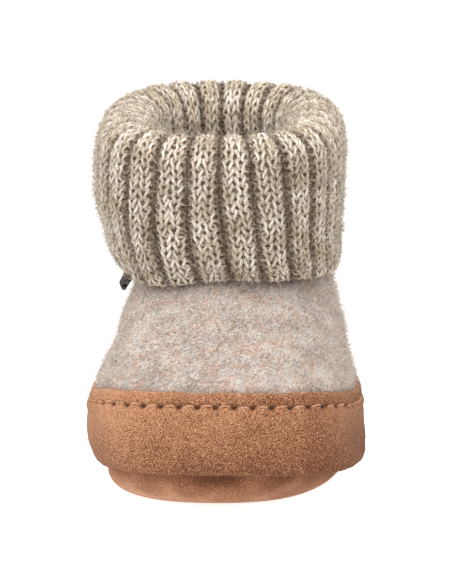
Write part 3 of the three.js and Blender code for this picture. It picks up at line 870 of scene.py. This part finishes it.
# The ground of the knit is the wall behind the loops, which shows brown between them: brown like the
# yarn's brown ply, and darker as painted shade of the gaps between the loops
ground_runs, ground_turns = np.meshgrid(
    np.linspace(0.4, CUFF_RUN - 0.2, GROUND_ROWS), even_turns(GROUND_STEPS), indexing="ij")
ground_depth = rib_depth(ground_turns * RIBS - RIB_PHASE)
ground_face, _ = on_cuff(ground_runs, ground_turns, GROUND_LIFT - GROUND_VALLEY * ground_depth)
ground_back, _ = on_cuff(ground_runs, ground_turns, np.full_like(ground_depth, -KNIT_WALL / 2))
ground_solid = np.concatenate([ground_face, ground_back[::-1]])


def yarn_material(name, cream, brown, purl_and_shade):
    """Ragg wool yarn: a cream ply twisted with a brown one, hairy and dull. The plies show as slanting
    strokes along each loop. The purled columns lie deep and are painted dark brown: partly browner yarn,
    partly painted shade of the valleys. Where the piece has painted light, on the roll and the inside, the
    yarn is lighter."""
    material = new_material(name)
    place = add_node(material, "TexCoord")
    split = add_node(material, "SeparateXYZ", {"Vector": place.outputs["UV"]})
    hair = add_node(material, "TexNoise", {
        "Vector": place.outputs["Object"], "Scale": per_mm(0.55), "Detail": 4.0, "Roughness": 0.7,
        "Distortion": 1.0})
    mottle = add_node(material, "TexNoise", {
        "Vector": place.outputs["Object"], "Scale": per_mm(6.0), "Detail": 2.0, "Roughness": 0.5})
    turn = add_node(material, "Math", {0: split.outputs["Y"], 1: FULL_TURN}, operation="MULTIPLY")
    ply = add_node(material, "Math", {0: turn}, operation="COSINE")
    ply_noise = add_node(material, "Math", {0: hair, 1: 1.6, 2: -0.8}, operation="MULTIPLY_ADD")
    ply_edge = add_node(material, "Math", {0: ply, 1: ply_noise}, operation="ADD")
    ply_share = add_node(material, "MapRange", {"Value": ply_edge, "From Min": 0.3, "From Max": 0.9})
    # The rib's depth: the valleys get browner yarn and painted shade
    purled = add_node(material, "Attribute", attribute_name="tone")
    keep = add_node(material, "Math", {0: purled.outputs["Fac"], 1: -0.75, 2: 1.0}, operation="MULTIPLY_ADD")
    cream_share = add_node(material, "Math", {0: ply_share, 1: keep}, operation="MULTIPLY")
    cream_colour = add_node(material, "ValToRGB", {"Fac": mottle}, cream)
    brown_colour = add_node(material, "ValToRGB", {"Fac": hair}, brown)
    purl_and_shade_colour = add_node(material, "ValToRGB", {"Fac": hair}, purl_and_shade)
    brown_and_painted_shade = add_node(material, "Mix", {
        0: purled.outputs["Fac"], 6: brown_colour, 7: purl_and_shade_colour}, data_type="RGBA")
    colour = add_node(material, "Mix", {
        0: cream_share, 6: brown_and_painted_shade.outputs[2], 7: cream_colour}, data_type="RGBA")
    # Painted light: the roll and the inside are made lighter in the colour
    painted_roll_light = add_node(material, "Attribute", attribute_name="painted_roll_light")
    patch = add_node(material, "Math", {0: mottle, 1: 1.2, 2: 0.38}, operation="MULTIPLY_ADD")
    lightness_and_painted_light = add_node(
        material, "Math", {0: painted_roll_light.outputs["Fac"], 1: 0.34, 2: patch}, operation="MULTIPLY_ADD")
    warmth = add_node(material, "Math", {0: mottle, 1: -1.4, 2: 1.75}, operation="MULTIPLY_ADD")
    lit = add_node(material, "HueSaturation", {
        "Color": colour.outputs[2], "Value": lightness_and_painted_light, "Saturation": warmth})
    finish_surface(material, lit, hair, 0.6, 0.35, {
        "Roughness": 0.95, "Specular IOR Level": 0.15, "Sheen Weight": 0.12, "Sheen Roughness": 0.6,
        "Sheen Tint": linear("#f2eadf")})
    return material


# The ground's dark browns are partly the yarn's brown and partly painted shade between the loops
ground_wool = felt_material(
    "ragg_wool_ground",
    [(0.4, "#453529"), (0.5, "#7e6958"), (0.6, "#a8937f")], "#3a2c22", rise=0.4)
cuff = add_piece("cuff_ground", ground_solid, skin(ground_solid, True), ground_wool)
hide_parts("cuff")

generator = np.random.default_rng(KNIT_SEED)
loop_wales = np.arange(WALES * STITCH_SAMPLES) / STITCH_SAMPLES
loop_angle = FULL_TURN * loop_wales
course_runs = (np.arange(COURSES) + COURSE_START) * (CUFF_RUN / COURSES)


def along_yarn(values):
    """Values given for each course and wale, blended along the yarn between neighbouring wales."""
    wale = loop_wales.astype(int)
    share = loop_wales - wale
    return values[:, wale] * (1.0 - share) + values[:, (wale + 1) % WALES] * share


loose_height, loose_depth, loose_side, loose_twist = [
    along_yarn(generator.normal(scale=scale, size=(COURSES, WALES))) for scale in LOOSENESS]
plain = np.interp(loop_wales % WALES_PER_RIB, [0.0, 1.0, 2.0, 3.0], [1.0, 1.0, -1.0, 1.0])
yarn_wales = loop_wales + LOOP_WIDTH * np.sin(2.0 * loop_angle) / FULL_TURN + loose_side
yarn_shares = rib_share(yarn_wales)
yarn_depth = rib_depth(yarn_shares)
yarn_runs = course_runs[:, None] + LOOP_HEIGHT * np.cos(loop_angle) + loose_height
yarn_turns = (yarn_shares + RIB_PHASE) / RIBS
yarn_turns += rib_wander(yarn_runs, yarn_turns) / RIBS
yarn_lifts = CREST_LIFT + (VALLEY_LIFT - CREST_LIFT) * yarn_depth - LOOP_DEPTH * plain * np.cos(
    2.0 * loop_angle) + loose_depth
yarn_paths, yarn_normals = on_cuff(yarn_runs, yarn_turns, yarn_lifts)
yarn_twist = loop_angle / math.pi - 0.5 + loose_twist / FULL_TURN

ragg_wool = yarn_material(
    "ragg_wool_yarn",
    [(0.35, "#c7bba9"), (0.6, "#d7cdbd")],
    [(0.3, "#877865"), (0.5, "#b8aa98"), (0.7, "#d8cdbc")],
    [(0.4, "#1c120c"), (0.6, "#7c6452")])
# Painted light on the courses of the roll and the inside
course_painted_light = np.clip((np.arange(COURSES) - PAINTED_LIGHT_START) / PAINTED_LIGHT_SPAN, 0.0, 1.0)
for knit_name, first_course, end_course in KNIT_PIECES:
    courses = slice(first_course, end_course)
    knit_points = tube(yarn_paths[courses], yarn_normals[courses], YARN_RADIUS, YARN_SIDES, True)
    samples, sides = knit_points.shape[1:3]
    knit = add_piece(knit_name, knit_points, tube_faces(knit_points, True), ragg_wool)
    # The tone is the rib's depth, which gives the valleys browner yarn and painted shade
    set_values(knit, "tone", np.repeat(yarn_depth[courses], sides))
    set_values(knit, "painted_roll_light", np.repeat(course_painted_light[courses], samples * sides))
    side_share = np.arange(sides + 1) / sides
    twist = yarn_twist[courses]
    twist_next = np.roll(twist, -1, axis=1)
    twist_next[:, -1] = 2.0 * twist[:, -1] - twist[:, -2]
    corner_side = np.stack([side_share[:-1], side_share[1:], side_share[1:], side_share[:-1]], axis=-1)
    corner_twist = np.stack([twist, twist, twist_next, twist_next], axis=-1)
    corner_v = corner_side - corner_twist[:, :, None, :]
    corner_u = np.broadcast_to((np.arange(samples) / STITCH_SAMPLES)[:, None, None], corner_v.shape)
    uv_layer = knit.data.uv_layers.new(name="yarn")
    uv_layer.data.foreach_set("uv", np.stack([corner_u, corner_v], axis=-1).astype(np.float32).ravel())

# Loose hairs of the yarn, darker where they start in a valley: painted shade of the valley, partly the
# browner yarn there
fuzz_course = generator.integers(0, COURSES, KNIT_HAIRS)
fuzz_sample = generator.integers(0, WALES * STITCH_SAMPLES, KNIT_HAIRS)
fuzz_normal = yarn_normals[fuzz_course, fuzz_sample]
fuzz_stand = generator.uniform(0.1, 1.0, KNIT_HAIRS)[:, None]
fuzz_ways = fuzz_stand * fuzz_normal + generator.normal(scale=0.6, size=(KNIT_HAIRS, 3))
fuzz_roots = yarn_paths[fuzz_course, fuzz_sample] + fuzz_normal * YARN_RADIUS * 0.7
fuzz_lengths = generator.uniform(*KNIT_HAIR_LENGTHS, KNIT_HAIRS)
fuzz_brown_and_shade = 1.0 - VALLEY_HAIR_BROWN_AND_SHADE * yarn_depth[fuzz_course, fuzz_sample]
ragg_hairs = hair_material("ragg_wool_hairs", [(0.0, "#5a483b"), (0.35, "#b6a794"), (1.0, "#eee6da")])
add_hairs(
    "cuff_fuzz", fuzz_roots, fuzz_ways, fuzz_lengths, KNIT_HAIR_WIDTH, fuzz_brown_and_shade, ragg_hairs,
    generator)


# The side tab
# A short loop of black woven ribbon, folded once, pinched at the fold and sewn to the felt under the hem on
# the inner side. Its face is blank.
TAB_WIDTH = 9.0
TAB_TOP = 55.8
TAB_LENGTH = 8.8
TAB_MOUTH = 2.2
TAB_FOLD = 1.7
TAB_RIBBON = 0.8
TAB_PLACE = (-28.7, 20.0)
TAB_LEAN = 0.5
TAB_TURN = 0.14
TAB_AROUND = 56
TAB_LEG_STEPS = 24
TAB_FOLD_STEPS = 14
TAB_SQUARENESS = 0.5

tab_radius = (TAB_FOLD - TAB_RIBBON) / 2
tab_leg = TAB_LENGTH - TAB_FOLD / 2
tab_down = np.linspace(0.0, tab_leg, TAB_LEG_STEPS)
tab_half = np.linspace((TAB_MOUTH - TAB_RIBBON) / 2, tab_radius, TAB_LEG_STEPS)
tab_bend = np.linspace(0.0, math.pi, TAB_FOLD_STEPS)[1:-1]
tab_path = np.concatenate([
    np.stack([tab_half, -tab_down], axis=1),
    np.stack([tab_radius * np.cos(tab_bend), -tab_leg - tab_radius * np.sin(tab_bend)], axis=1),
    np.stack([-tab_half[::-1], -tab_down[::-1]], axis=1)])
tab_along = unit(np.gradient(tab_path, axis=0))
tab_out = np.stack([-tab_along[:, 1], tab_along[:, 0]], axis=1)
# The ribbon's cross-section is a flat oval, carried along the folded path
tab_angle = even_turns(TAB_AROUND) * FULL_TURN
tab_across = TAB_WIDTH / 2 * np.sign(np.cos(tab_angle)) * np.abs(np.cos(tab_angle)) ** TAB_SQUARENESS
tab_thick = TAB_RIBBON / 2 * np.sign(np.sin(tab_angle)) * np.abs(np.sin(tab_angle)) ** TAB_SQUARENESS
tab_flat = tab_path[:, None, :] + tab_out[:, None, :] * tab_thick[:, None]
tab_x = tab_flat[..., 0] * math.cos(TAB_LEAN) + tab_flat[..., 1] * math.sin(TAB_LEAN)
tab_z = -tab_flat[..., 0] * math.sin(TAB_LEAN) + tab_flat[..., 1] * math.cos(TAB_LEAN)
tab_y = np.broadcast_to(tab_across, tab_x.shape)
tab_points = np.stack([
    TAB_PLACE[0] + tab_x * math.cos(TAB_TURN) - tab_y * math.sin(TAB_TURN),
    TAB_PLACE[1] + tab_x * math.sin(TAB_TURN) + tab_y * math.cos(TAB_TURN),
    TAB_TOP + tab_z], axis=-1)

# Black polyester ribbon, woven with fine ribs across it, slightly glossy
black_ribbon = new_material("woven_black_ribbon")
ribbon_place = add_node(black_ribbon, "TexCoord").outputs["Object"]
ribbon_ribs = add_node(black_ribbon, "TexWave", {
    "Vector": ribbon_place, "Scale": per_mm(0.7) / FULL_TURN, "Distortion": 0.6, "Detail": 1.0},
    bands_direction="Z")
ribbon_colour = add_node(black_ribbon, "ValToRGB", {"Fac": ribbon_ribs.outputs["Fac"]}, [
    (0.2, "#0e0d0e"), (0.8, "#1f1e1f")])
finish_surface(black_ribbon, ribbon_colour, ribbon_ribs.outputs["Fac"], 0.5, 0.15, {
    "Roughness": 0.55, "Specular IOR Level": 0.4})
side_tab = add_piece("side_tab_ribbon", tab_points, skin(tab_points, False), black_ribbon)
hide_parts("side_tab")


# The studio
# A white paper floor, soft lights from the left and from in front, a weaker one from the right, a broad one
# from above, and a camera with a long lens a little above the toe.
FLOOR_HALF = 8.0
CAMERA_AZIMUTH = math.radians(3.0)
CAMERA_ELEVATION = math.radians(12.3)
CAMERA_DISTANCE = 4.0
CAMERA_FARTHEST = 30.0
CAMERA_AIM = (0.0, 0.0, 55.0)
AIM_RIGHT = -1.445
AIM_UP = -3.58
PIXELS_PER_MM = 3.46
IMAGE_HEIGHT = 584
SENSOR = 36.0
SKY_STRENGTH = 0.4
LIGHT_AIM = (0.0, 0.0, 0.05)
# Each light: name, place, size and power, in metres and watts
LIGHTS = [
    ("key_light", (-1.1, -0.7, 0.6), 0.9, 7.4),
    ("front_light", (0.25, -1.2, 0.75), 1.0, 9.2),
    ("side_light", (1.2, -0.3, 0.5), 0.9, 3.8),
    ("top_light", (-0.2, -0.3, 1.5), 1.6, 15.0),
]

# White paper, matt. It glows more for the camera than for the boot, so that it stays white in the picture
white_paper = new_material("white_paper")
paper_seen = add_node(white_paper, "LightPath").outputs["Is Camera Ray"]
paper_glow = add_node(white_paper, "Math", {0: paper_seen, 1: 0.6, 2: 0.2}, operation="MULTIPLY_ADD")
paper_shader = add_node(white_paper, "BsdfPrincipled", {
    "Base Color": linear("#e8e8e8"), "Roughness": 0.9, "Specular IOR Level": 0.1,
    "Emission Color": linear("#ffffff"), "Emission Strength": paper_glow})
add_node(white_paper, "OutputMaterial", {"Surface": paper_shader})
floor_mesh = bpy.data.meshes.new("floor")
floor_mesh.from_pydata(
    [(-FLOOR_HALF, -FLOOR_HALF, 0), (FLOOR_HALF, -FLOOR_HALF, 0), (FLOOR_HALF, FLOOR_HALF, 0),
     (-FLOOR_HALF, FLOOR_HALF, 0)], [], [(0, 1, 2, 3)])
floor_mesh.materials.append(white_paper)
floor = add_object("floor", floor_mesh)


def aim(location, target):
    """The rotation that turns an object's -Z axis from its location to the target, with its Y axis up."""
    way = np.array(target) - np.array(location)
    level = math.hypot(way[0], way[1])
    return (math.atan2(level, -way[2]), 0.0, math.atan2(-way[0], way[1]))


for light_name, light_place, light_size, light_power in LIGHTS:
    light_data = bpy.data.lights.new(light_name, "AREA")
    light_data.size = light_size
    light_data.energy = light_power
    light = add_object(light_name, light_data)
    light.location = light_place
    light.rotation_euler = aim(light_place, LIGHT_AIM)
sky = bpy.data.worlds.new("studio_sky")
sky.use_nodes = True
sky_light = sky.node_tree.nodes["Background"]
sky_light.inputs["Color"].default_value = linear("#ffffff")
sky_light.inputs["Strength"].default_value = SKY_STRENGTH
bpy.context.scene.world = sky
bpy.context.scene.view_settings.view_transform = "Standard"

camera_data = bpy.data.cameras.new("camera")
camera_data.sensor_width = SENSOR
camera_data.lens = SENSOR * PIXELS_PER_MM * CAMERA_DISTANCE / MM / IMAGE_HEIGHT
camera_data.clip_end = CAMERA_FARTHEST
camera = add_object("camera", camera_data)
camera_back = np.array([
    math.sin(CAMERA_AZIMUTH) * math.cos(CAMERA_ELEVATION),
    -math.cos(CAMERA_AZIMUTH) * math.cos(CAMERA_ELEVATION), math.sin(CAMERA_ELEVATION)])
camera_right = np.array([math.cos(CAMERA_AZIMUTH), math.sin(CAMERA_AZIMUTH), 0.0])
camera_up = np.cross(camera_back, camera_right)
camera_target = (np.array(CAMERA_AIM) + AIM_RIGHT * camera_right + AIM_UP * camera_up) * MM
camera_place = camera_target + CAMERA_DISTANCE * camera_back
camera.location = camera_place.tolist()
camera.rotation_euler = aim(camera_place, camera_target)
bpy.context.scene.camera = camera
